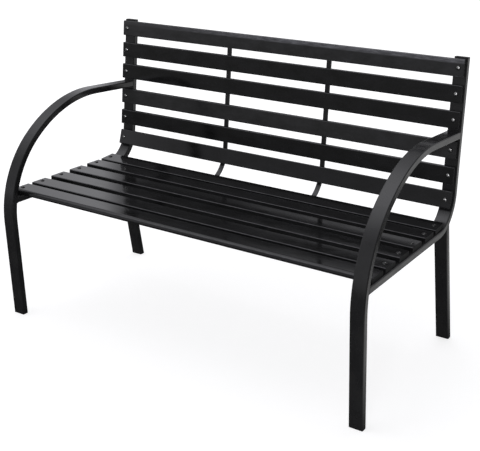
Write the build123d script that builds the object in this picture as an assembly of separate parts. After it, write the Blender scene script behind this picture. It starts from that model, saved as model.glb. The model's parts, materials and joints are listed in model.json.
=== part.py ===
from build123d import *
import math
import os

# A slatted garden bench. Two bent steel side frames carry six seat slats and six back slats of
# painted wood, held by a bolt at each end and by two bent flat bars in the middle.
# X runs along the bench, the sitter faces -Y and Z is up. Sizes are in millimetres and degrees.
# The origin is on the floor, under the middle of the bench's box.

# Frame tube: rectangular steel tube, its wide side across the bench
BENCH_LENGTH = 1220.0
TUBE_WIDTH = 40.0
TUBE_DEPTH = 20.0
TUBE_WALL = 1.5
TUBE_CORNER = 3.0
WELD_GAP = 0.2          # root gap between a cut tube end and the tube it is welded to

# Front leg and arm, one tube, read in the side view along its middle line
FRONT_LEG_LEAN = 4.0
FRONT_LEG_STRAIGHT = 312.0
ARM_FRONT_RADIUS = 300.0
ARM_FRONT_ANGLE = 54.3
ARM_TOP_RADIUS = 405.5
ARM_TOP_ANGLE = 43.2

# Seat rail and back upright, one tube. Places on it are read along its upper face
RAIL_HEIGHT = 393.8     # upper face of the rail over the front of the front foot
RAIL_FALL = 0.92        # the seat falls to the rear
RAIL_REACH = 551.0      # from over the front foot to the corner that the bend rounds off
BACK_LEAN = 4.03
BACK_RISE = 481.3       # from that corner to the top of the upright
BEND_RADIUS = 94.0      # on the sitter's side

# Rear leg
REAR_FOOT_SETBACK = 593.1   # from the front of the front foot to the front of the rear foot
REAR_LEG_RAKE = 11.83

# Plastic plugs in the open tube ends
PLUG_FLANGE = 2.5
PLUG_INSERT = 16.0
PLUG_WALL = 1.8
PLUG_CLEARANCE = 0.25

# Slats
SLAT_END_INSET = 4.0    # from a slat's end to the outside of the side frame
SLAT_THICKNESS = 15.0
SLAT_ARRIS = 2.5
SEAT_SLAT_WIDTH = 60.0
SEAT_SLAT_GAP = 26.0
SEAT_END_GAP = 15.0     # the narrower gap behind the front slat and before the last one
FRONT_SLAT_WIDTH = 65.0
FRONT_SLAT_START = 20.5     # nose of the front slat, along the rail
FRONT_SLAT_NOSE = 11.5      # radius of its rounded front edge
BACK_SLAT_WIDTH = 50.0
BACK_SLAT_GAP = 24.0
ARM_SLAT_GAP = 36.5     # the wider gap that the arm reaches through
TOP_SLAT_DROP = 4.5     # from the top of the upright to the top slat
SLATS_ABOVE_ARM = 3
SLATS_BELOW_ARM = 3
SEAT_SLATS = 6

# Bolts, one at each slat end, with a hexagon nut behind the tube
BOLT_SHANK = 6.0
BOLT_HEAD = 13.0
BOLT_HEAD_HEIGHT = 3.2
BOLT_HEAD_RIM = 0.7
BOLT_SOCKET = 4.0
BOLT_SOCKET_DEPTH = 2.0
BOLT_TIP = 2.0          # how far the bolt stands out of its nut
BOLT_CLEARANCE = 0.3    # round the shank in wood and steel
FRONT_BOLT_SETBACK = 24.5   # bolt of the front slat, from its nose
NUT_ACROSS_FLATS = 10.0
NUT_HEIGHT = 5.0
NUT_CLEARANCE = 0.15    # between the plain shank and the nut's bore
NUT_SEAT = 0.1          # left between a nut and the tube, for the bend's curve

# Middle supports: flat steel bars bent to the same line as the side frames
SUPPORT_SHARE = 0.295   # distance between the two bars, as a share of the bench's length
SUPPORT_WIDTH = 15.0
SUPPORT_THICKNESS = 5.0
SUPPORT_END_INSET = 12.0    # inside the front edge of the seat and the top edge of the back

OVERRUN = 5.0           # how far a cut runs past what it cuts
RIGHT_ANGLE = 90.0


# Side view: u runs back from the front of the front foot, v runs up from the floor

def direction(angle_from_up):
    """Unit vector in the side view, leaning back from upright by the angle."""
    a = math.radians(angle_from_up)
    return Vector(math.sin(a), math.cos(a))


rail_along = direction(RIGHT_ANGLE + RAIL_FALL)
rail_up = direction(RAIL_FALL)
back_along = direction(BACK_LEAN)
back_out = direction(BACK_LEAN - RIGHT_ANGLE)
rail_datum = Vector(0, RAIL_HEIGHT)
rail_corner = rail_datum + rail_along * RAIL_REACH
upright_top = rail_corner + back_along * BACK_RISE

rear_axis = direction(-REAR_LEG_RAKE)
front_axis = direction(-FRONT_LEG_LEAN)
front_foot_depth = TUBE_DEPTH / math.cos(math.radians(FRONT_LEG_LEAN))
rear_foot_depth = TUBE_DEPTH / math.cos(math.radians(REAR_LEG_RAKE))

# The middle of the bench's box, from the arm's foremost point to the back of the rear foot
lean_drop = 1 - math.cos(math.radians(FRONT_LEG_LEAN))
arm_outer_radius = ARM_FRONT_RADIUS + TUBE_DEPTH / 2
foremost = FRONT_LEG_STRAIGHT * front_axis.X - arm_outer_radius * lean_drop
rearmost = REAR_FOOT_SETBACK + rear_foot_depth
middle = (foremost + rearmost) / 2


def side_plane(x):
    """The side view, placed across the bench at x."""
    return Plane(origin=(x, -middle, 0), x_dir=(0, 1, 0), z_dir=(1, 0, 0))


def place(x, point):
    """A side-view point at x, in the bench's own frame."""
    return side_plane(x).from_local_coords(Vector(point.X, point.Y, 0))


def turned(vector):
    """A side-view direction in the bench's own frame."""
    return Vector(0, vector.X, vector.Y)


def sweep_section(path, section):
    """Sweep a section, its width across the bench, along a side-view path."""
    plane = Plane(origin=path @ 0, x_dir=(1, 0, 0), z_dir=path % 0)
    return sweep(plane * section, path=path)


def hollow_tube(path):
    outside = RectangleRounded(TUBE_WIDTH, TUBE_DEPTH, TUBE_CORNER)
    bore = Rectangle(TUBE_WIDTH - 2 * TUBE_WALL, TUBE_DEPTH - 2 * TUBE_WALL)
    return sweep_section(path, outside) - sweep_section(path, bore)


def welded_envelope(path):
    """The space a tube takes, with the root gap that a tube welded to it keeps."""
    return sweep_section(path, Rectangle(TUBE_WIDTH + 2 * OVERRUN, TUBE_DEPTH + 2 * WELD_GAP))


def largest(shape):
    return shape.solids().sort_by(SortBy.VOLUME)[-1]


def in_side_view(edges, x):
    """Put a chain of side-view edges at x."""
    return side_plane(x) * Wire(edges)


# Paths along the middle of each tube

def arm_leg_path(x, as_far_as_arm=True):
    """The bent line of front leg and arm, or of the leg and its bend alone."""
    foot = Vector(front_foot_depth / 2, 0)
    leg = Line(foot - front_axis * OVERRUN, foot + front_axis * FRONT_LEG_STRAIGHT)
    front_bend = JernArc(leg @ 1, leg % 1, ARM_FRONT_RADIUS, -ARM_FRONT_ANGLE)
    if not as_far_as_arm:
        return in_side_view([leg, front_bend], x)
    top_bend = JernArc(front_bend @ 1, front_bend % 1, ARM_TOP_RADIUS, -ARM_TOP_ANGLE)
    run = top_bend % 1
    reach = (upright_top - (top_bend @ 1)).dot(back_out) / run.dot(back_out)
    arm = Line(top_bend @ 1, (top_bend @ 1) + run * (reach + TUBE_DEPTH / 2))
    return in_side_view([leg, front_bend, top_bend, arm], x)


def rail_path(x, below, run_on=0.0):
    """The bent line of rail and upright, this far below the upper face."""
    turn = RIGHT_ANGLE + RAIL_FALL - BACK_LEAN
    tangent = BEND_RADIUS * math.tan(math.radians(turn / 2))
    start = rail_datum - rail_up * below
    bend_start = start + rail_along * (RAIL_REACH - tangent)
    rail = Line(start, bend_start)
    bend = JernArc(rail @ 1, rail % 1, BEND_RADIUS + below, turn)
    top = (bend @ 1) + back_along * (BACK_RISE - tangent + run_on)
    return in_side_view([rail, bend, Line(bend @ 1, top)], x)


def rear_leg_path(x):
    foot = Vector(REAR_FOOT_SETBACK + rear_foot_depth / 2, 0)
    top = foot + rear_axis * (RAIL_HEIGHT + TUBE_DEPTH)
    return in_side_view([Line(foot - rear_axis * OVERRUN, top)], x)


# Slat seats along the upper face of rail and upright

upper_face = rail_path(0, 0)


def seat_frame(near, far):
    """The plane a slat lies on, from the two places on the frame that its edges rest on.

    On the straight it is the face itself. Over the bend it bridges the hollow.
    """
    a = upper_face @ (near / upper_face.length)
    b = upper_face @ (far / upper_face.length)
    along = (b - a).normalized()
    up = Vector(1, 0, 0).cross(along)
    return Plane(origin=(a + b) / 2, x_dir=(1, 0, 0), z_dir=up)


def seat_slat_spans():
    """Front and rear edge of each seat slat, along the rail."""
    spans = []
    near = FRONT_SLAT_START
    for index in range(SEAT_SLATS):
        width = FRONT_SLAT_WIDTH if index == 0 else SEAT_SLAT_WIDTH
        spans.append((near, near + width))
        beside_end = index in (0, SEAT_SLATS - 2)
        near += width + (SEAT_END_GAP if beside_end else SEAT_SLAT_GAP)
    return spans


def back_slat_spans():
    """Lower and upper edge of each back slat along the frame, from the top slat down."""
    spans = []
    far = upper_face.length - TOP_SLAT_DROP
    for index in range(SLATS_ABOVE_ARM + SLATS_BELOW_ARM):
        spans.append((far - BACK_SLAT_WIDTH, far))
        beside_arm = index == SLATS_ABOVE_ARM - 1
        far -= BACK_SLAT_WIDTH + (ARM_SLAT_GAP if beside_arm else BACK_SLAT_GAP)
    return spans


def slat_board(seat, width):
    """A planed board with eased edges, lying on its seat."""
    section = RectangleRounded(width, SLAT_THICKNESS, SLAT_ARRIS)
    across = Plane(
        origin=seat.origin + seat.z_dir * (SLAT_THICKNESS / 2),
        x_dir=seat.y_dir,
        z_dir=seat.x_dir,
    )
    return extrude(across * section, amount=slat_length / 2, both=True)


def front_board(seat, width):
    """The front board, with its front edge rounded over in a large radius."""
    half = width / 2
    nose = FRONT_SLAT_NOSE
    section = make_face(
        [
            Line((-half, SLAT_ARRIS), (-half, SLAT_THICKNESS - nose)),
            JernArc((-half, SLAT_THICKNESS - nose), (0, 1), nose, -RIGHT_ANGLE),
            Line((-half + nose, SLAT_THICKNESS), (half - SLAT_ARRIS, SLAT_THICKNESS)),
            JernArc((half - SLAT_ARRIS, SLAT_THICKNESS), (1, 0), SLAT_ARRIS, -RIGHT_ANGLE),
            Line((half, SLAT_THICKNESS - SLAT_ARRIS), (half, SLAT_ARRIS)),
            JernArc((half, SLAT_ARRIS), (0, -1), SLAT_ARRIS, -RIGHT_ANGLE),
            Line((half - SLAT_ARRIS, 0), (-half + SLAT_ARRIS, 0)),
            JernArc((-half + SLAT_ARRIS, 0), (-1, 0), SLAT_ARRIS, -RIGHT_ANGLE),
        ]
    )
    across = Plane(origin=seat.origin, x_dir=seat.y_dir, z_dir=seat.x_dir)
    return extrude(across * section, amount=slat_length / 2, both=True)


def on_seat(seat, x, along, lift):
    """A plane square to a slat's seat, at x and along it, lifted off it."""
    origin = seat.origin + Vector(x, 0, 0) + seat.y_dir * along + seat.z_dir * lift
    return Plane(origin=origin, x_dir=seat.x_dir, z_dir=seat.z_dir)


def drill(seat, x, along, radius, near, far):
    """A round cutter square to a slat's seat, from one depth to another, up being positive."""
    return on_seat(seat, x, along, near) * extrude(Circle(radius), amount=far - near)


def depth_behind(seat, along, below, reach):
    """How far behind a slat's seat, square to it, a flat face this wide first lands on the frame."""
    line = rail_path(0, below)
    depths = []
    for offset in (-reach, 0, reach):
        start = seat.origin + seat.y_dir * (along + offset)
        ray = Line(start, start - seat.z_dir * (below + BEND_RADIUS))
        depths += [(Vector(*point) - start).length for point in ray.intersect(line).vertices()]
    return max(depths)


# Hardware, each built standing on the plane it bears on

def domed_head(radius, rim, height):
    """A round head bearing at zero: a straight rim and a shallow dome over it."""
    rise = height - rim
    dome_radius = (radius**2 + rise**2) / (2 * rise)
    halfway = height - dome_radius + math.sqrt(dome_radius**2 - radius**2 / 4)
    outline = [
        Line((0, 0), (radius, 0)),
        Line((radius, 0), (radius, rim)),
        ThreePointArc((radius, rim), (radius / 2, halfway), (0, height)),
        Line((0, height), (0, 0)),
    ]
    return revolve(Plane.XZ * make_face(outline), Axis.Z)


def bolt_solid(grip):
    """Domed head with a hexagon socket, bearing at zero, and a shank through the grip."""
    head = domed_head(BOLT_HEAD / 2, BOLT_HEAD_RIM, BOLT_HEAD_HEIGHT)
    socket = Plane.XY.offset(BOLT_HEAD_HEIGHT - BOLT_SOCKET_DEPTH) * RegularPolygon(
        BOLT_SOCKET / 2, 6, major_radius=False
    )
    head -= extrude(socket, amount=BOLT_SOCKET_DEPTH + OVERRUN)
    shank = extrude(Circle(BOLT_SHANK / 2), amount=-grip)
    return head + shank


def nut_solid():
    """A hexagon nut hanging below zero."""
    flats = RegularPolygon(NUT_ACROSS_FLATS / 2, 6, major_radius=False)
    bore = Circle(BOLT_SHANK / 2 + NUT_CLEARANCE)
    return extrude(flats - bore, amount=-NUT_HEIGHT)


# Every slat with its seat and the place of its bolt along its width

slats = {}
for index, (near, far) in enumerate(seat_slat_spans()):
    bolt_along = FRONT_BOLT_SETBACK - FRONT_SLAT_WIDTH / 2 if index == 0 else 0
    slats[f"seat_slat_{index + 1}"] = (seat_frame(near, far), far - near, bolt_along)
for index, (near, far) in enumerate(back_slat_spans()):
    slats[f"back_slat_{index + 1}"] = (seat_frame(near, far), far - near, 0)

slat_length = BENCH_LENGTH - 2 * SLAT_END_INSET
side_x = BENCH_LENGTH / 2 - TUBE_WIDTH / 2
bolt_hole = BOLT_SHANK / 2 + BOLT_CLEARANCE
sides = {"left": -side_x, "right": side_x}
support_x = BENCH_LENGTH * SUPPORT_SHARE / 2
supports = {"left": -support_x, "right": support_x}

parts = {}


def make_side_frames():
    for side, x in sides.items():
        floor_cut = Plane.XY.offset(PLUG_FLANGE)
        leg = split(hollow_tube(arm_leg_path(x)), bisect_by=floor_cut, keep=Keep.TOP)
        face = Plane(origin=place(x, upright_top), x_dir=(1, 0, 0), z_dir=turned(back_out))
        leg = split(leg, bisect_by=face.offset(WELD_GAP), keep=Keep.TOP)
        parts[f"arm_leg_{side}"] = largest(leg)

        rail = hollow_tube(rail_path(x, TUBE_DEPTH / 2, -PLUG_FLANGE))
        rail = largest(rail - welded_envelope(arm_leg_path(x, as_far_as_arm=False)))
        for seat, _, along in slats.values():
            depth = depth_behind(seat, along, TUBE_DEPTH, bolt_hole) + OVERRUN
            rail -= drill(seat, x, along, bolt_hole, -depth, OVERRUN)
        parts[f"seat_back_rail_{side}"] = rail

        rear = split(hollow_tube(rear_leg_path(x)), bisect_by=floor_cut, keep=Keep.TOP)
        rear -= welded_envelope(rail_path(x, TUBE_DEPTH / 2))
        parts[f"rear_leg_{side}"] = rear.solids().sort_by(Axis.Z)[0]


def plug_solid(plane, axis, depth):
    """A flange over the tube's end and a hollow insert that grips inside it."""
    flange = extrude(plane * RectangleRounded(TUBE_WIDTH, depth, TUBE_CORNER), amount=PLUG_FLANGE)
    inner_width = TUBE_WIDTH - 2 * (TUBE_WALL + PLUG_CLEARANCE)
    inner_depth = depth - 2 * (TUBE_WALL + PLUG_CLEARANCE) * depth / TUBE_DEPTH
    bore = Rectangle(inner_width - 2 * PLUG_WALL, inner_depth - 2 * PLUG_WALL)
    rib = Rectangle(PLUG_WALL, inner_depth - PLUG_WALL)
    insert = plane.offset(PLUG_FLANGE) * (Rectangle(inner_width, inner_depth) - bore + rib)
    return flange + extrude(insert, amount=PLUG_INSERT, dir=axis)


def make_plugs():
    feet = {
        "front": (front_foot_depth / 2, front_axis, front_foot_depth),
        "rear": (REAR_FOOT_SETBACK + rear_foot_depth / 2, rear_axis, rear_foot_depth),
    }
    for side, x in sides.items():
        for end, (u, axis, depth) in feet.items():
            plane = Plane(origin=place(x, Vector(u, 0)), x_dir=(1, 0, 0), z_dir=(0, 0, 1))
            shift = axis * (PLUG_FLANGE / axis.Y)
            foot = plug_solid(plane, turned(axis), depth)
            parts[f"foot_plug_{end}_{side}"] = Pos(0, shift.X, 0) * foot
        top = upright_top - back_out * (TUBE_DEPTH / 2)
        plane = Plane(origin=place(x, top), x_dir=(1, 0, 0), z_dir=-turned(back_along))
        parts[f"top_plug_{side}"] = plug_solid(plane, -turned(back_along), TUBE_DEPTH)


def make_slats():
    for name, (seat, width, along) in slats.items():
        board = front_board if name == "seat_slat_1" else slat_board
        slat = board(seat, width)
        for x in sides.values():
            slat -= drill(seat, x, along, bolt_hole, -OVERRUN, SLAT_THICKNESS + OVERRUN)
        parts[name] = slat


def make_supports():
    near = FRONT_SLAT_START + SUPPORT_END_INSET
    far = upper_face.length - TOP_SLAT_DROP - SUPPORT_END_INSET
    for side, x in supports.items():
        path = rail_path(x, SUPPORT_THICKNESS / 2)
        bar = sweep_section(path, Rectangle(SUPPORT_WIDTH, SUPPORT_THICKNESS))
        front = Plane(origin=upper_face @ (near / upper_face.length), z_dir=turned(rail_along))
        top = Plane(origin=upper_face @ (far / upper_face.length), z_dir=turned(back_along))
        bar = split(bar, bisect_by=front, keep=Keep.TOP)
        parts[f"middle_support_{side}"] = split(bar, bisect_by=top, keep=Keep.BOTTOM)


def make_bolts():
    for name, (seat, _, along) in slats.items():
        depth = depth_behind(seat, along, TUBE_DEPTH, NUT_ACROSS_FLATS / 2) + NUT_SEAT
        bolt = bolt_solid(SLAT_THICKNESS + depth + NUT_HEIGHT + BOLT_TIP)
        for side, x in sides.items():
            group = name.split("_")[0]
            bolts = parts.setdefault(f"{group}_bolts_{side}", [])
            bolts.append(on_seat(seat, x, along, SLAT_THICKNESS) * bolt)
            nuts = parts.setdefault(f"{group}_nuts_{side}", [])
            nuts.append(on_seat(seat, x, along, -depth) * nut_solid())


make_side_frames()
make_plugs()
make_slats()
make_supports()
make_bolts()

os.makedirs("parts", exist_ok=True)
for name, shape in parts.items():
    solids = shape if isinstance(shape, list) else shape.solids()
    node = Compound(children=[solid for item in solids for solid in item.solids()])
    node.label = name
    export_step(node, f"parts/{name}.step")
    print(name, len(node.solids()))
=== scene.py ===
import json
import math

import bmesh
import bpy
from mathutils import Matrix, Vector
from mathutils.bvhtree import BVHTree


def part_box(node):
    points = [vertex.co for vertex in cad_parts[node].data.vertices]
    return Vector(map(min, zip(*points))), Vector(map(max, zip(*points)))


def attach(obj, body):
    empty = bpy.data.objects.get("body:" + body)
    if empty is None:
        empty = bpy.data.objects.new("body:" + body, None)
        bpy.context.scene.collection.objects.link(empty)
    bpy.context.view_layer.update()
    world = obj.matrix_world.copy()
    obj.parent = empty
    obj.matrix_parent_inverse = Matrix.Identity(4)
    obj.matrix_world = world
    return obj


# A garden bench: two bent steel side frames with slats of black-painted softwood.
# Metres throughout, in the frame of the CAD model. What has MM in its name is in millimetres.

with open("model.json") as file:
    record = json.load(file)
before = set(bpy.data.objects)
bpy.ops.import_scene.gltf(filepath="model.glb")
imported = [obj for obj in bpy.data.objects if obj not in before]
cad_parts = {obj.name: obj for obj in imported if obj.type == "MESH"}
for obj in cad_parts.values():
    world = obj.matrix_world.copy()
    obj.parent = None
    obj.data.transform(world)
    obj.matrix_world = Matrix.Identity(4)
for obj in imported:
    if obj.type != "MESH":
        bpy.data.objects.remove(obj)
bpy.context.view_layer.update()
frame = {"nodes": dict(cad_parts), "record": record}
nodes = frame["nodes"]

MM = 0.001

# Camera, found by fitting the bench's own sizes to the photograph
IMAGE_WIDTH_PX = 480
IMAGE_HEIGHT_PX = 451
FOCAL_LENGTH_PX = 954.2
PRINCIPAL_X_PX = 239.2
PRINCIPAL_Y_PX = 135.0
SENSOR_WIDTH_MM = 36.0
CAMERA_PLACE = (1.4846, -2.2507, 1.3593)
CAMERA_YAW_DEG = 32.634
CAMERA_PITCH_DEG = 15.479
CAMERA_ROLL_DEG = 0.551

# Frame tube and welds. Each weld is the side view's y and z of the two corners of a cut tube end
TUBE_WIDTH_MM = 40.0
TUBE_CORNER_MM = 3.0
SIDE_FRAME_X_MM = 590.0
WELDS_MM = {
    "arm_to_upright": ((274.39, 654.12), (272.98, 634.17)),
    "rail_to_front_leg": ((-291.37, 393.73), (-294.98, 373.79)),
    "rear_leg_to_rail": ((218.39, 378.15), (236.48, 389.30)),
}
BEAD_RADIUS_MM = 2.3
BEAD_RIPPLE_MM = 2.0
BEAD_RIPPLE_SHARE = 0.05    # of the radius, as the ripples' height
BEAD_CRESCENT = 1.2         # how far a ripple runs ahead in the middle of the bead, in radians
BEAD_STEP_MM = 0.4
BEAD_SIDES = 12
BEAD_CORNER_STEPS = 8
BEAD_PROUD_MM = 0.6         # on the tube's inner side, where its faces lie flush
BEAD_GROUND_MM = -0.05      # on its outer side, where the weld is ground back

# Wood screws through the middle supports
SUPPORT_X_MM = 179.95
SCREW_HEAD_MM = ((4.0, 0.0), (4.0, 0.7), (3.6, 1.6), (2.6, 2.2), (1.3, 2.4))
SCREW_HEAD_TOP_MM = 2.45
SCREW_SIDES = 20
CROSS_LENGTH_MM = 4.4
CROSS_WIDTH_MM = 0.9
CROSS_DEPTH_MM = 1.3
CUTTER_SPARE_MM = 1         # above the head, so that the cross cuts it open
CROSS_TURN_DEG = 37         # turns each cross another way than the one before
BAR_REACH = 0.05            # how far from a slat's middle its support is looked for
BAR_SKIN_MM = 0.5           # a step into the bar, to find its other side from there

# The middle of a noise, which spread() stretches over a whole range
NOISE_MIDDLE = (0.35, 0.65)

# A surface that faces along the bench by more than this is the cut end of a slat
CUT_END_FACING = 0.9

# Wear and painted highlight in the slats' paint, and a painted shade towards their left ends
HIGHLIGHT_BAND_MM = (14, 10)     # a painted highlight below the top slat's upper edge: where the band begins, and is full
MARK_PATCHES = (0.35, 1.0)
MARK_ROUGHNESS = 0.32
LEFT_FADE_X = -0.55          # from here to the left the slats' marks fade to this share, a painted shade
LEFT_FADE_SHARE = 0.1

# The way the bolts of the seat and of the back point, out of their heads, and how closely a crown
# faces that way where the painted shade round it thins out and where it ends
BOLT_CROWNS = (
    ((0.0, 0.0, 1.0), 0.94, 0.97),
    ((0.0, -0.993, 0.12), 0.85, 0.90),
)


def linear(hex_colour):
    """sRGB hex to the linear values that shaders take."""
    channels = [int(hex_colour[i:i + 2], 16) / 255 for i in (1, 3, 5)]
    return tuple(
        c / 12.92 if c <= 0.04045 else ((c + 0.055) / 1.055) ** 2.4 for c in channels
    ) + (1.0,)


def add(tree, kind, settings=None, **inputs):
    """Add a node, set its own settings, and set or link its inputs."""
    node = tree.nodes.new(kind)
    for name, value in (settings or {}).items():
        setattr(node, name, value)
    for name, value in inputs.items():
        key = int(name[1:]) if name[1:].isdigit() else name.replace("_", " ")
        if isinstance(value, bpy.types.NodeSocket):
            tree.links.new(value, node.inputs[key])
        else:
            node.inputs[key].default_value = value
    return node


def maths(tree, operation, *values):
    """One step of arithmetic."""
    inputs = {f"_{index}": value for index, value in enumerate(values)}
    return add(tree, "ShaderNodeMath", {"operation": operation}, **inputs).outputs[0]


def ranged(tree, value, near, far, at_near=0.0, at_far=1.0, ease="LINEAR"):
    """Carry a value from one range over to another, and hold it at the ends."""
    return add(
        tree, "ShaderNodeMapRange", {"interpolation_type": ease},
        Value=value, From_Min=near, From_Max=far, To_Min=at_near, To_Max=at_far,
    ).outputs["Result"]


def mixed_value(tree, share, first, second):
    """A value between two others, which are the Mix node's inputs 2 and 3."""
    return add(tree, "ShaderNodeMix", Factor=share, _2=first, _3=second).outputs[0]


def mixed_colour(tree, share, first, second):
    """A colour between two others, which are the Mix node's inputs 6 and 7."""
    return add(
        tree, "ShaderNodeMix", {"data_type": "RGBA"}, Factor=share, _6=first, _7=second,
    ).outputs[2]


def new_material(name):
    material = bpy.data.materials.new(name)
    material.use_nodes = True
    material.node_tree.nodes.clear()
    return material, material.node_tree


def stretched_noise(tree, along_mm, across_mm, detail=4.0, roughness=0.5):
    """Noise in real sizes: its patches are this long along the bench and this wide across it."""
    where = add(tree, "ShaderNodeTexCoord")
    scaled = add(
        tree, "ShaderNodeMapping",
        Vector=where.outputs["Object"],
        Scale=(1 / (along_mm * MM), 1 / (across_mm * MM), 1 / (across_mm * MM)),
    )
    return add(
        tree, "ShaderNodeTexNoise",
        Vector=scaled.outputs["Vector"], Scale=1.0, Detail=detail, Roughness=roughness,
    ).outputs["Fac"]


def spread(tree, noise, low, high):
    """Stretch the middle of a noise over a range of values."""
    return ranged(tree, noise, *NOISE_MIDDLE, low, high)


def bumped(tree, height, strength, depth_mm, **inputs):
    """Normals of a fine relief this deep."""
    return add(
        tree, "ShaderNodeBump",
        Height=height, Strength=strength, Distance=depth_mm * MM, **inputs,
    ).outputs["Normal"]


def coordinate(tree, axis):
    """The place along an axis of the bench."""
    where = add(tree, "ShaderNodeTexCoord")
    return add(tree, "ShaderNodeSeparateXYZ", Vector=where.outputs["Object"]).outputs[axis]


def facing(tree, axis, normal="Normal"):
    """How squarely a surface faces one way or the other along an axis."""
    shape = add(tree, "ShaderNodeNewGeometry")
    parts = add(tree, "ShaderNodeSeparateXYZ", Vector=shape.outputs[normal])
    return maths(tree, "ABSOLUTE", parts.outputs[axis])


def faces_along_x(tree):
    """One on the faces that look along the bench, which are the cut ends of its slats."""
    return maths(tree, "GREATER_THAN", facing(tree, "X", "True Normal"), CUT_END_FACING)


def rounded_edges(tree, begin, full):
    """One where a slat's long edges turn between its faces, nothing on the faces themselves."""
    turned = maths(tree, "MINIMUM", facing(tree, "Y"), facing(tree, "Z"))
    return ranged(tree, turned, begin, full)


# Materials

def gloss_painted_softwood(
    name, darker_tone="#171717", lighter_tone="#202021", edge_mark_begins=0.32, edge_mark_full=0.50,
    wear_and_highlight_colour="#505052", highlight_top=None, full_from=None,
):
    """Brushed black gloss over planed softwood: a near mirror at low angles, drawn out along the
    grain that telegraphs through the film. Its rounded edges are painted lighter grey, part wear
    and part painted highlight, and it can carry a painted highlight in a band under its top edge.
    Both can fade towards the slat's left end, a painted shade. The sawn ends soak the paint up and
    dry dull."""
    material, tree = new_material(name)
    grain = stretched_noise(tree, 220, 2.2, detail=3.0)
    film = stretched_noise(tree, 90, 26, detail=2.0)
    handling = stretched_noise(tree, 60, 30, detail=5.0, roughness=0.65)
    patchiness = stretched_noise(tree, 25, 4, detail=4.0)
    pores = stretched_noise(tree, 1.6, 1.6, detail=3.0)

    # The real grain lines are under 1 mm apart. They are drawn coarser to show at this size
    lines = bumped(tree, grain, 0.06, 0.15)
    waves = bumped(tree, film, 0.10, 0.5, Normal=lines)
    tint = mixed_colour(
        tree, spread(tree, handling, 0, 1), linear(darker_tone), linear(lighter_tone),
    )

    # Rounded edges painted lighter grey: part wear, part painted highlight
    wear_and_highlight = rounded_edges(tree, edge_mark_begins, edge_mark_full)
    # A painted highlight in a band under the slat's top edge
    if highlight_top is not None:
        begin, full = (highlight_top - depth_mm * MM for depth_mm in HIGHLIGHT_BAND_MM)
        wear_and_highlight = maths(tree, "MAXIMUM", wear_and_highlight, ranged(tree, coordinate(tree, "Z"), begin, full))
    # Painted shade: the edge marks and band fade towards the slat's left end
    if full_from is not None:
        left_fade = ranged(tree, coordinate(tree, "X"), LEFT_FADE_X, full_from, LEFT_FADE_SHARE, 1.0)
        wear_and_highlight = maths(tree, "MULTIPLY", wear_and_highlight, left_fade)
    patchy_wear_and_highlight = maths(tree, "MULTIPLY", wear_and_highlight, spread(tree, patchiness, *MARK_PATCHES))

    gloss = add(
        tree, "ShaderNodeBsdfPrincipled",
        Base_Color=mixed_colour(tree, patchy_wear_and_highlight, tint, linear(wear_and_highlight_colour)),
        Roughness=mixed_value(tree, patchy_wear_and_highlight, spread(tree, handling, 0.08, 0.14), MARK_ROUGHNESS),
        IOR=1.5,
        Normal=waves,
    )
    dull = add(
        tree, "ShaderNodeBsdfPrincipled",
        Base_Color=linear("#1b1b1c"), Roughness=0.7, IOR=1.5,
        Normal=bumped(tree, pores, 0.6, 0.5),
    )
    surface = add(
        tree, "ShaderNodeMixShader",
        _0=faces_along_x(tree), _1=gloss.outputs["BSDF"], _2=dull.outputs["BSDF"],
    )
    add(tree, "ShaderNodeOutputMaterial", Surface=surface.outputs[0])
    return material


def charcoal_powder_coat():
    """Baked polyester powder on steel: charcoal with a soft shine, cloudy in places, and a fine
    orange peel."""
    material, tree = new_material("charcoal_powder_coat")
    peel = stretched_noise(tree, 2.5, 2.5, detail=2.0)
    cloud = stretched_noise(tree, 70, 70, detail=4.0)
    shader = add(
        tree, "ShaderNodeBsdfPrincipled",
        Base_Color=mixed_colour(
            tree, spread(tree, cloud, 0, 1), linear("#222223"), linear("#2b2b2b"),
        ),
        Roughness=spread(tree, cloud, 0.15, 0.27),
        IOR=1.58,
        Normal=bumped(tree, peel, 0.12, 0.12),
    )
    add(tree, "ShaderNodeOutputMaterial", Surface=shader.outputs["BSDF"])
    return material


def zinc_plated_steel():
    """Zinc on cold-headed bolts: a pale metal with soft highlights on the crowns. A dark ring round
    each crown, over the rim of the head, is painted shade."""
    material, tree = new_material("zinc_plated_steel")
    bloom = stretched_noise(tree, 4, 4, detail=3.0)
    zinc = add(
        tree, "ShaderNodeBsdfPrincipled",
        Base_Color=linear("#c4c4c2"), Metallic=1.0, Roughness=spread(tree, bloom, 0.22, 0.32),
    )
    # Painted shade: a dark ring over the rim of each head
    rim_shade = add(
        tree, "ShaderNodeBsdfPrincipled",
        Base_Color=linear("#101010"), Roughness=0.3, IOR=1.5,
    )
    shape = add(tree, "ShaderNodeNewGeometry")
    crowns = []
    for axis, shaded, bare in BOLT_CROWNS:
        along = add(
            tree, "ShaderNodeVectorMath", {"operation": "DOT_PRODUCT"},
            _0=shape.outputs["Normal"], _1=axis,
        )
        squarely = maths(tree, "ABSOLUTE", along.outputs["Value"])
        crowns.append(ranged(tree, squarely, shaded, bare))
    surface = add(
        tree, "ShaderNodeMixShader",
        _0=maths(tree, "MAXIMUM", *crowns), _1=rim_shade.outputs["BSDF"], _2=zinc.outputs["BSDF"],
    )
    add(tree, "ShaderNodeOutputMaterial", Surface=surface.outputs[0])
    return material


def moulded_polyethylene():
    """Black polyethylene, injection moulded: dull and slightly waxy."""
    material, tree = new_material("moulded_polyethylene")
    sparks = stretched_noise(tree, 1.5, 1.5, detail=2.0)
    shader = add(
        tree, "ShaderNodeBsdfPrincipled",
        Base_Color=linear("#181818"), Roughness=0.55, IOR=1.51,
        Normal=bumped(tree, sparks, 0.2, 0.1),
    )
    add(tree, "ShaderNodeOutputMaterial", Surface=shader.outputs["BSDF"])
    return material


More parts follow.
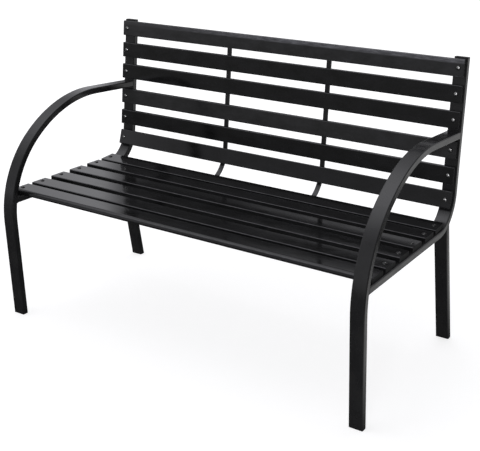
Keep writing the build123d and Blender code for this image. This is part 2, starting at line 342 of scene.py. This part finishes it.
finishes = {
    "frame_paint": charcoal_powder_coat(),
    "slat_paint": gloss_painted_softwood("gloss_painted_softwood"),
    "plated_steel": zinc_plated_steel(),
    "plug_plastic": moulded_polyethylene(),
}
for part in frame["record"]["subparts"]:
    for slot in nodes[part["node"]].material_slots:
        slot.material = finishes[part["material_slot"]]

# The front slat's wide round nose has its light edge mark, part wear and part painted highlight,
# only along its middle, and less to the left. Two slats of the back get lighter tones, a painted
# reflection. The top one also has a painted highlight in a band along its upper edge
special_paints = {
    "seat_slat_1": gloss_painted_softwood(
        "gloss_painted_softwood_nose", edge_mark_begins=0.56, edge_mark_full=0.68, full_from=-0.05,
    ),
    "back_slat_1": gloss_painted_softwood(
        "gloss_painted_softwood_top", "#292929", "#343435", wear_and_highlight_colour="#747478",
        highlight_top=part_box("back_slat_1")[1][2], full_from=-0.05,
    ),
    "back_slat_4": gloss_painted_softwood("gloss_painted_softwood_lit", "#2c2c2c", "#373738"),
}
for name, paint in special_paints.items():
    for slot in nodes[name].material_slots:
        slot.material = paint


# Pieces made here

def piece_from(name, mesh, material_slot):
    """Put a mesh in the bench as its own piece, with the finish of one of the record's slots."""
    piece = bpy.data.objects.new(name, mesh)
    bpy.context.collection.objects.link(piece)
    mesh.materials.append(finishes[material_slot])
    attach(piece, "root")


def rounded_loop(half_width, half_height, corner, step):
    """Evenly spaced points and directions round a rectangle with rounded corners."""
    loop = []
    middles = [
        (half_width - corner, half_height - corner, 0),
        (corner - half_width, half_height - corner, 90),
        (corner - half_width, corner - half_height, 180),
        (half_width - corner, corner - half_height, 270),
    ]
    for x, y, start in middles:
        for turn in range(BEAD_CORNER_STEPS + 1):
            angle = math.radians(start + 90 * turn / BEAD_CORNER_STEPS)
            loop.append(Vector((x + corner * math.cos(angle), y + corner * math.sin(angle))))
    spaced = []
    for a, b in zip(loop, loop[1:] + loop[:1]):
        pieces = max(1, round((b - a).length / step))
        for index in range(pieces):
            spaced.append((a.lerp(b, index / pieces), (b - a).normalized()))
    return spaced


def weld_bead(name, x_mm, corners):
    """A weld round a tube's cut end: overlapping ripples, low where the tubes lie flush, and ground
    back on the outside of the bench."""
    upper, lower = (Vector((0, y, z)) for y, z in corners)
    height = (upper - lower).length
    up = (upper - lower) / height
    across = Vector((1, 0, 0))
    inward = -math.copysign(1, x_mm)
    outer = TUBE_WIDTH_MM / 2 + BEAD_GROUND_MM - BEAD_RADIUS_MM
    inner = TUBE_WIDTH_MM / 2 + BEAD_PROUD_MM - BEAD_RADIUS_MM
    centre = (upper + lower) / 2 + across * (x_mm + inward * (inner - outer) / 2)
    loop = rounded_loop((inner + outer) / 2, height / 2, TUBE_CORNER_MM / 2, BEAD_STEP_MM)
    out_of_plane = across.cross(up)
    shape = bmesh.new()
    rings = []
    travelled = 0.0
    for index, (point, along) in enumerate(loop):
        place = centre + across * point.x + up * point.y
        side = across * along.y - up * along.x
        ring = []
        for step in range(BEAD_SIDES):
            angle = 2 * math.pi * step / BEAD_SIDES
            # Each ripple's edge is a crescent, furthest along in the middle of the bead
            phase = 2 * math.pi * travelled / BEAD_RIPPLE_MM - BEAD_CRESCENT * math.cos(angle)
            ripple = BEAD_RIPPLE_SHARE * math.cos(phase)
            radius = BEAD_RADIUS_MM * (1 - BEAD_RIPPLE_SHARE + ripple)
            spot = place + (side * math.cos(angle) + out_of_plane * math.sin(angle)) * radius
            ring.append(shape.verts.new(spot * MM))
        rings.append(ring)
        travelled += (loop[(index + 1) % len(loop)][0] - point).length
    for ring, following in zip(rings, rings[1:] + rings[:1]):
        for step in range(BEAD_SIDES):
            beside = (step + 1) % BEAD_SIDES
            face = shape.faces.new((ring[step], following[step], following[beside], ring[beside]))
            face.smooth = True
    bmesh.ops.recalc_face_normals(shape, faces=shape.faces)
    mesh = bpy.data.meshes.new(name)
    shape.to_mesh(mesh)
    shape.free()
    piece_from(name, mesh, "frame_paint")


def plain_head():
    """A pan head without its recess, standing on zero."""
    shape = bmesh.new()
    rings = []
    for radius, height in SCREW_HEAD_MM:
        ring = []
        for step in range(SCREW_SIDES):
            angle = 2 * math.pi * step / SCREW_SIDES
            spot = (radius * math.cos(angle), radius * math.sin(angle), height)
            ring.append(shape.verts.new(spot))
        rings.append(ring)
    for low, high in zip(rings, rings[1:]):
        for step in range(SCREW_SIDES):
            beside = (step + 1) % SCREW_SIDES
            face = shape.faces.new((low[step], low[beside], high[beside], high[step]))
            face.smooth = True
    crown = shape.verts.new((0, 0, SCREW_HEAD_TOP_MM))
    for step in range(SCREW_SIDES):
        face = shape.faces.new((rings[-1][step], rings[-1][(step + 1) % SCREW_SIDES], crown))
        face.smooth = True
    shape.faces.new(rings[0][::-1])
    mesh = bpy.data.meshes.new("screw_head")
    shape.to_mesh(mesh)
    shape.free()
    return mesh


def cross_recess():
    """The cross that is cut into a head, from its floor to above the crown."""
    arm, narrow = CROSS_LENGTH_MM / 2, CROSS_WIDTH_MM / 2
    outline = [
        (arm, -narrow), (arm, narrow), (narrow, narrow),
        (narrow, arm), (-narrow, arm), (-narrow, narrow),
        (-arm, narrow), (-arm, -narrow), (-narrow, -narrow),
        (-narrow, -arm), (narrow, -arm), (narrow, -narrow),
    ]
    low = SCREW_HEAD_TOP_MM - CROSS_DEPTH_MM
    high = SCREW_HEAD_TOP_MM + CUTTER_SPARE_MM
    points = [(x, y, z) for z in (low, high) for x, y in outline]
    count = len(outline)
    faces = [tuple(reversed(range(count))), tuple(range(count, 2 * count))]
    faces += [(i, (i + 1) % count, count + (i + 1) % count, count + i) for i in range(count)]
    mesh = bpy.data.meshes.new("cross_recess")
    mesh.from_pydata(points, [], faces)
    return mesh


def screw_head():
    """A pan head with a cross recess, standing on zero."""
    head = bpy.data.objects.new("screw_head", plain_head())
    cutter = bpy.data.objects.new("cross_recess", cross_recess())
    for thing in (head, cutter):
        bpy.context.collection.objects.link(thing)
    cut = head.modifiers.new("recess", "BOOLEAN")
    cut.object = cutter
    cut.solver = "EXACT"
    scene_now = bpy.context.evaluated_depsgraph_get()
    finished = bpy.data.meshes.new_from_object(head.evaluated_get(scene_now))
    for thing in (head, cutter):
        bpy.data.objects.remove(thing)
    return finished


def bearing_direction(slat):
    """The direction square to a slat's wide faces, and the middle of the slat."""
    areas = {}
    for face in slat.data.polygons:
        # The cut ends look along the bench, and are left out
        if abs(face.normal.x) < 0.01:
            key = (round(face.normal.y, 2), round(face.normal.z, 2))
            areas[key] = areas.get(key, Vector()) + face.normal * face.area
    widest = max(areas.values(), key=lambda total: total.length)
    low, high = (Vector(corner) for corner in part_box(slat.name))
    return widest.normalized(), (low + high) / 2


def support_screws(side, x_mm, head):
    """The wood screws that hold every slat from behind, through one middle support."""
    support = nodes[f"middle_support_{side}"]
    bar = BVHTree.FromPolygons(
        [support.matrix_world @ vertex.co for vertex in support.data.vertices],
        [tuple(face.vertices) for face in support.data.polygons],
    )
    shape = bmesh.new()
    for name in sorted(nodes):
        if "_slat_" not in name:
            continue
        square, middle = bearing_direction(nodes[name])
        start = Vector((x_mm * MM, middle.y, middle.z))
        for way in (square, -square):
            near, _, _, _ = bar.ray_cast(start, way, BAR_REACH)
            if near is None:
                continue
            far, face, _, _ = bar.ray_cast(near + way * BAR_SKIN_MM * MM, way, BAR_REACH)
            if face.dot(way) < 0:
                face = -face
            turn = face.to_track_quat("Z", "X").to_matrix().to_4x4()
            angle = math.radians(CROSS_TURN_DEG * len(shape.verts) % 90)
            spin = Matrix.Rotation(angle, 4, "Z")
            held = head.copy()
            held.transform(Matrix.Translation(far) @ turn @ spin @ Matrix.Scale(MM, 4))
            shape.from_mesh(held)
            bpy.data.meshes.remove(held)
    mesh = bpy.data.meshes.new(f"support_screws_{side}")
    shape.to_mesh(mesh)
    shape.free()
    piece_from(f"support_screws_{side}", mesh, "plated_steel")


recessed_head = screw_head()
for side, hand in (("left", -1), ("right", 1)):
    for weld, corners in WELDS_MM.items():
        weld_bead(f"weld_{weld}_{side}", hand * SIDE_FRAME_X_MM, corners)
    support_screws(side, hand * SUPPORT_X_MM, recessed_head)
bpy.data.meshes.remove(recessed_head)


# Stage

STUDIO_TINT = "#fafaff"

# Brightness of the studio's walls round the bench: degrees from straight behind it, left positive
STUDIO_WALLS = (
    (-180, 0.28), (-150, 0.08), (-60, 0.06), (-30, 0.30), (-10, 0.55), (12, 0.55), (22, 0.42),
    (30, 0.24), (33, 0.06), (39.3, 0.06), (39.9, 0.95), (44, 0.80), (52, 0.60), (75, 0.40),
    (110, 0.30), (137, 0.30), (139.5, 0.70), (141.5, 0.70), (144, 0.36), (150, 0.32), (180, 0.28),
)
# Brightness of the soft light overhead: cosine from its middle, which lies a little to the left
OVERHEAD_DIRECTION = (-0.33, 0.0, 0.944)
OVERHEAD_LIGHT = ((0.0, 0.05), (0.40, 0.15), (0.68, 0.30), (0.85, 0.62), (0.93, 1.00), (1.0, 1.45))
# The walls give way to it between these heights, as sines of the angle above the floor
WALL_TOPS = (0.42, 0.64)

FLOOR_REACH = 14.0
FLOOR_COLOUR = "#bcbcbc"
# The floor's glow for the camera, near the bench and far from it: metres from its middle, brightness
GLOW_NEAR = (0.8, 0.74)
GLOW_FAR = (3.0, 0.92)
# The floor as mirrored, a painted glow. Behind the bench: metres behind its middle, brightness
FLOOR_BEHIND = ((1.5, 0.0), (1.85, 0.74), (2.05, 0.70), (2.4, 0.50), (4.0, 0.50))
# A painted pool of light in a strip on its right: brightness, and the places between which the strip
# rises, ends and starts
STRIP_BRIGHTNESS = 0.60
STRIP_RISES_X = (0.60, 0.80)
STRIP_ENDS_X = (1.00, 1.06)
STRIP_STARTS_Y = (-1.0, -0.3)
# In front of it, where this much is added to the rest: place, brightness
FRONT_NEAR = (-1.0, 0.05)
FRONT_FAR = (-4.0, 0.18)

# Soft lamps: place, aim, width and height, watts
LAMPS = {
    "overhead": ((-1.6, -1.6, 3.2), (0, 0, 0.5), (2.4, 2.4), 20),
    "rear": ((-0.4, 2.2, 2.6), (0, 0, 0.5), (2.6, 1.1), 15),
    "front": ((1.6, -3.6, 1.45), (0, 0, 0.6), (1.0, 1.0), 30),
}
# Lamps that light only the bolts and leave a bright spot on each head
BOLT_LAMPS = {
    "front_sparkle": ((0.8, -3.5, 1.6), (0, 0, 0.6), (2.6, 0.8), 50),
    "rear_sparkle": ((0.9, 1.6, 3.2), (0.3, 0, 0.4), (0.4, 0.4), 14),
}


def graded(tree, value, stops):
    """Brightness that follows a value through these stops."""
    low, high = stops[0][0], stops[-1][0]
    ramp = add(tree, "ShaderNodeValToRGB", _0=ranged(tree, value, low, high))
    marks = ramp.color_ramp.elements
    while len(marks) > 1:
        marks.remove(marks[-1])
    for index, (at, brightness) in enumerate(stops):
        place = (at - low) / (high - low)
        mark = marks[0] if index == 0 else marks.new(place)
        mark.position = place
        mark.color = (brightness, brightness, brightness, 1)
    return ramp.outputs["Color"]


def make_floor():
    """A pale floor that the camera sees as white, less the bench's shadow. Reflections see a painted
    glow: pale well behind the bench and in a strip on its right, dim elsewhere, a painted shade
    round the bench."""
    mesh = bpy.data.meshes.new("floor")
    corners = ((-1, -1), (1, -1), (1, 1), (-1, 1))
    points = [(x * FLOOR_REACH, y * FLOOR_REACH, 0) for x, y in corners]
    mesh.from_pydata(points, [], [(0, 1, 2, 3)])
    floor = bpy.data.objects.new("floor", mesh)
    bpy.context.collection.objects.link(floor)
    material, tree = new_material("pale_floor")
    path = add(tree, "ShaderNodeLightPath")
    where = add(tree, "ShaderNodeTexCoord")

    # The floor fades into the white background, and keeps its own light and shade near the bench
    away = add(
        tree, "ShaderNodeVectorMath", {"operation": "LENGTH"}, _0=where.outputs["Object"],
    )
    fade = ranged(
        tree, away.outputs["Value"], GLOW_NEAR[0], GLOW_FAR[0], GLOW_NEAR[1], GLOW_FAR[1],
    )
    glow = add(
        tree, "ShaderNodeEmission",
        Strength=maths(tree, "MULTIPLY", path.outputs["Is Camera Ray"], fade),
    )
    paint = add(tree, "ShaderNodeBsdfDiffuse", Color=linear(FLOOR_COLOUR))
    lit = add(tree, "ShaderNodeAddShader", _0=paint.outputs[0], _1=glow.outputs[0])

    right, rear = coordinate(tree, "X"), coordinate(tree, "Y")
    rises = ranged(tree, right, *STRIP_RISES_X, 0.0, STRIP_BRIGHTNESS)
    ends = ranged(tree, right, *STRIP_ENDS_X, 1.0, 0.0)
    starts = ranged(tree, rear, *STRIP_STARTS_Y)
    strip = maths(tree, "MULTIPLY", maths(tree, "MULTIPLY", rises, ends), starts)
    lightest = maths(tree, "MAXIMUM", graded(tree, rear, FLOOR_BEHIND), strip)
    in_front = ranged(
        tree, rear, FRONT_NEAR[0], FRONT_FAR[0], FRONT_NEAR[1], FRONT_FAR[1],
    )
    # In reflections the floor glows: painted light, and painted shade round the bench
    mirrored = add(
        tree, "ShaderNodeEmission", Strength=maths(tree, "ADD", lightest, in_front),
    )
    reflected = maths(
        tree, "MAXIMUM", path.outputs["Is Glossy Ray"], path.outputs["Is Transmission Ray"],
    )
    surface = add(
        tree, "ShaderNodeMixShader", _0=reflected, _1=lit.outputs[0], _2=mirrored.outputs[0],
    )
    add(tree, "ShaderNodeOutputMaterial", Surface=surface.outputs[0])
    mesh.materials.append(material)


def make_softbox(name, place, aim, size, watts, only=None):
    """A soft lamp. Surfaces don't mirror it, unless it is there only for some pieces."""
    lamp = bpy.data.lights.new(name, "AREA")
    lamp.shape = "RECTANGLE"
    lamp.size, lamp.size_y = size
    lamp.energy = watts
    lamp.color = linear(STUDIO_TINT)[:3]
    box = bpy.data.objects.new(name, lamp)
    box.location = place
    box.rotation_euler = (Vector(aim) - Vector(place)).to_track_quat("-Z", "Y").to_euler()
    box.visible_camera = False
    box.visible_glossy = only is not None
    bpy.context.collection.objects.link(box)
    if only is not None:
        lit = bpy.data.collections.new(f"lit_by_{name}")
        for piece in only:
            lit.objects.link(piece)
        box.light_linking.receiver_collection = lit


def make_world():
    """White where the camera looks past the bench. For light and reflections it is a studio with
    its white wall to the rear left, a grey one behind, a dim room in front and to the right, and a
    large soft light overhead."""
    world = bpy.data.worlds.new("studio")
    bpy.context.scene.world = world
    world.use_nodes = True
    tree = world.node_tree
    tree.nodes.clear()
    where = add(tree, "ShaderNodeTexCoord")
    parts = add(tree, "ShaderNodeSeparateXYZ", Vector=where.outputs["Generated"])
    left = maths(tree, "MULTIPLY", parts.outputs["X"], -1.0)
    bearing = maths(tree, "DEGREES", maths(tree, "ARCTAN2", left, parts.outputs["Y"]))
    toward_light = add(
        tree, "ShaderNodeVectorMath", {"operation": "DOT_PRODUCT"},
        _0=where.outputs["Generated"], _1=OVERHEAD_DIRECTION,
    )
    level = mixed_colour(
        tree, ranged(tree, parts.outputs["Z"], *WALL_TOPS, ease="SMOOTHSTEP"),
        graded(tree, bearing, STUDIO_WALLS),
        graded(tree, toward_light.outputs["Value"], OVERHEAD_LIGHT),
    )
    seen = add(tree, "ShaderNodeLightPath").outputs["Is Camera Ray"]
    sky = add(
        tree, "ShaderNodeBackground",
        Color=mixed_colour(tree, seen, linear(STUDIO_TINT), (1, 1, 1, 1)),
        Strength=mixed_value(tree, seen, level, 1.0),
    )
    add(tree, "ShaderNodeOutputWorld", Surface=sky.outputs[0])


def make_camera():
    """The photograph's own view of the bench."""
    data = bpy.data.cameras.new("camera")
    data.sensor_width = SENSOR_WIDTH_MM
    data.lens = FOCAL_LENGTH_PX / IMAGE_WIDTH_PX * SENSOR_WIDTH_MM
    data.shift_x = (IMAGE_WIDTH_PX / 2 - PRINCIPAL_X_PX) / IMAGE_WIDTH_PX
    data.shift_y = (PRINCIPAL_Y_PX - IMAGE_HEIGHT_PX / 2) / IMAGE_WIDTH_PX
    camera = bpy.data.objects.new("camera", data)
    turn = Matrix.Rotation(math.radians(CAMERA_YAW_DEG), 4, "Z")
    tilt = Matrix.Rotation(math.radians(90 - CAMERA_PITCH_DEG), 4, "X")
    roll = Matrix.Rotation(math.radians(CAMERA_ROLL_DEG), 4, "Z")
    camera.matrix_world = Matrix.Translation(CAMERA_PLACE) @ turn @ tilt @ roll
    bpy.context.collection.objects.link(camera)
    bpy.context.scene.camera = camera


make_floor()
for name, (place, aim, size, watts) in LAMPS.items():
    make_softbox(name, place, aim, size, watts)
bolts = [nodes[name] for name in sorted(nodes) if "_bolts_" in name]
for name, (place, aim, size, watts) in BOLT_LAMPS.items():
    make_softbox(name, place, aim, size, watts, only=bolts)
make_world()
make_camera()
bpy.context.scene.view_settings.view_transform = "Standard"
